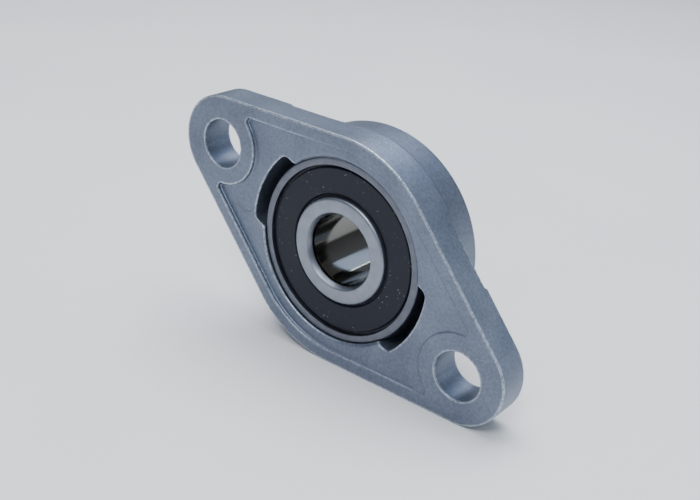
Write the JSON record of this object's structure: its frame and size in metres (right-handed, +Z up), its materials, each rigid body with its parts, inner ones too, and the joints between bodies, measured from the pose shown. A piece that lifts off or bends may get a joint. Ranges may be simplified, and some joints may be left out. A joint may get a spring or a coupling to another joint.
{
  "type": "flange mount bearing",
  "caption": "Rhombic flange mount bearing: cast housing with a spherical seat, self-aligning sealed ball bearing insert and set screws, for a small shaft.",
  "frame": {"origin": "centre of the bearing's spherical seat, on the shaft axis", "axes": "+Y along the shaft axis from the mounting face towards the boss, +X level along the flange, +Z up with the part standing on one flat side of its flange"},
  "size_m": [0.0446, 0.0117, 0.0266],
  "materials": {
    "zinc_casting": "as-cast zinc alloy, matte blue grey",
    "ring_steel": "ground bearing steel",
    "ball_steel": "lapped bearing steel",
    "cage_steel": "pressed steel strip",
    "seal_rubber": "moulded nitrile rubber, near black",
    "core_steel": "pressed steel washer inside the seal",
    "screw_steel": "black oxide alloy steel"
  },
  "bodies": {
    "housing": {"housing": "zinc_casting"},
    "insert": {"outer_ring": "ring_steel", "seal_front": "seal_rubber", "seal_rear": "seal_rubber", "seal_core_front": "core_steel", "seal_core_rear": "core_steel"},
    "shaft_ring": {"inner_ring": "ring_steel"},
    "screw_a": {"set_screw_a": "screw_steel"},
    "screw_b": {"set_screw_b": "screw_steel"},
    "cage": {"cage_half_front": "cage_steel", "cage_half_rear": "cage_steel", "cage_rivet_1": "cage_steel", "cage_rivet_2": "cage_steel", "cage_rivet_3": "cage_steel", "cage_rivet_4": "cage_steel", "cage_rivet_5": "cage_steel", "cage_rivet_6": "cage_steel", "cage_rivet_7": "cage_steel"},
    "ball_1_body": {"ball_1": "ball_steel"},
    "ball_2_body": {"ball_2": "ball_steel"},
    "ball_3_body": {"ball_3": "ball_steel"},
    "ball_4_body": {"ball_4": "ball_steel"},
    "ball_5_body": {"ball_5": "ball_steel"},
    "ball_6_body": {"ball_6": "ball_steel"},
    "ball_7_body": {"ball_7": "ball_steel"}
  },
  "joints": [
    {"name": "align_tilt", "type": "hinge", "parent": "housing", "child": "insert", "pos_m": [0, 0, 0], "axis": [1, 0, 0], "range_deg": [-5, 5]},
    {"name": "shaft_spin", "type": "hinge", "parent": "insert", "child": "shaft_ring", "pos_m": [0, 0, 0], "axis": [0, 1, 0], "continuous": true},
    {"name": "cage_orbit", "type": "hinge", "parent": "insert", "child": "cage", "pos_m": [0, 0, 0], "axis": [0, 1, 0], "continuous": true},
    {"name": "ball_1_spin", "type": "hinge", "parent": "cage", "child": "ball_1_body", "pos_m": [0, 0, 0.0075], "axis": [0, 1, 0], "continuous": true},
    {"name": "ball_2_spin", "type": "hinge", "parent": "cage", "child": "ball_2_body", "pos_m": [0.00586, 0, 0.00468], "axis": [0, 1, 0], "continuous": true},
    {"name": "ball_3_spin", "type": "hinge", "parent": "cage", "child": "ball_3_body", "pos_m": [0.00731, 0, -0.00167], "axis": [0, 1, 0], "continuous": true},
    {"name": "ball_4_spin", "type": "hinge", "parent": "cage", "child": "ball_4_body", "pos_m": [0.00325, 0, -0.00676], "axis": [0, 1, 0], "continuous": true},
    {"name": "ball_5_spin", "type": "hinge", "parent": "cage", "child": "ball_5_body", "pos_m": [-0.00325, 0, -0.00676], "axis": [0, 1, 0], "continuous": true},
    {"name": "ball_6_spin", "type": "hinge", "parent": "cage", "child": "ball_6_body", "pos_m": [-0.00731, 0, -0.00167], "axis": [0, 1, 0], "continuous": true},
    {"name": "ball_7_spin", "type": "hinge", "parent": "cage", "child": "ball_7_body", "pos_m": [-0.00586, 0, 0.00468], "axis": [0, 1, 0], "continuous": true},
    {"name": "set_screw_a_slide", "type": "slide", "parent": "shaft_ring", "child": "screw_a", "axis": [-0.866, 0, 0.5], "range_m": [-0.0006, 0.0015]},
    {"name": "set_screw_b_slide", "type": "slide", "parent": "shaft_ring", "child": "screw_b", "axis": [0.866, 0, 0.5], "range_m": [-0.0006, 0.0015]}
  ],
  "couplings": [
    {"joint": "cage_orbit", "follows": "shaft_spin", "ratio": 0.3677},
    {"joint": "ball_1_spin", "follows": "shaft_spin", "ratio": -1.7573},
    {"joint": "ball_2_spin", "follows": "shaft_spin", "ratio": -1.7573},
    {"joint": "ball_3_spin", "follows": "shaft_spin", "ratio": -1.7573},
    {"joint": "ball_4_spin", "follows": "shaft_spin", "ratio": -1.7573},
    {"joint": "ball_5_spin", "follows": "shaft_spin", "ratio": -1.7573},
    {"joint": "ball_6_spin", "follows": "shaft_spin", "ratio": -1.7573},
    {"joint": "ball_7_spin", "follows": "shaft_spin", "ratio": -1.7573}
  ]
}
